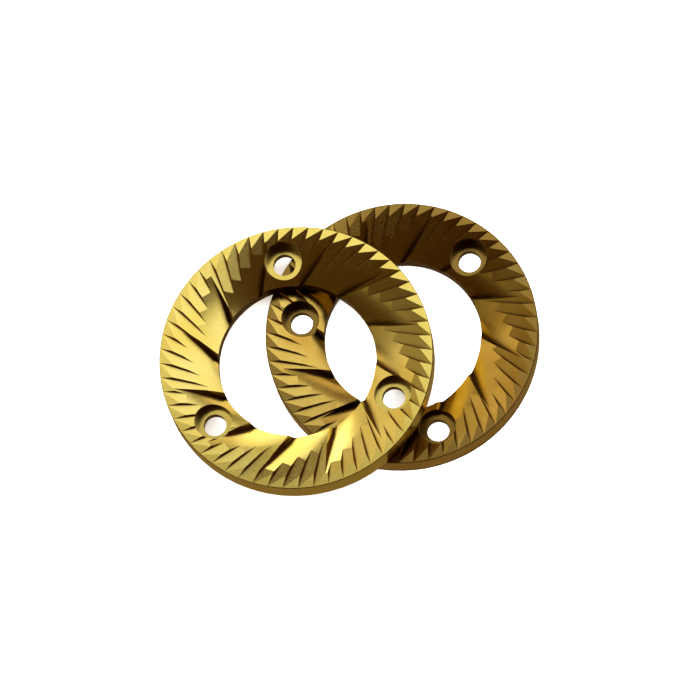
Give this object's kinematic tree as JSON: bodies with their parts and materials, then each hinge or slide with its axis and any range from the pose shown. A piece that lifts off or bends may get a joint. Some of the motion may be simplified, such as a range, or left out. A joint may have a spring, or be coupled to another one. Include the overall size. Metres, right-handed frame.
{
  "type": "flat grinding burr pair",
  "caption": "Matched pair of flat ring-shaped grinding burrs, gold coated, with lined sawtooth faces, an open bore and counterbored screw holes, one lying on the other.",
  "frame": {"origin": "centre of the lower burr's back face, on its bore axis", "axes": "+Z along the bore axes, from the back faces towards the teeth, so up as the pair lies; the upper burr lies towards -X and a little towards -Y"},
  "size_m": [0.0879, 0.0721, 0.013],
  "materials": {
    "coated_steel": "satin titanium-nitride coating, gold, over hardened tool steel"
  },
  "bodies": {
    "lower": {"lower_burr": "coated_steel"},
    "upper": {"upper_burr": "coated_steel"}
  },
  "joints": [
    {"name": "lift_off", "type": "slide", "parent": "lower", "child": "upper", "axis": [0, 0, 1], "range_m": [0, 0.06]}
  ]
}
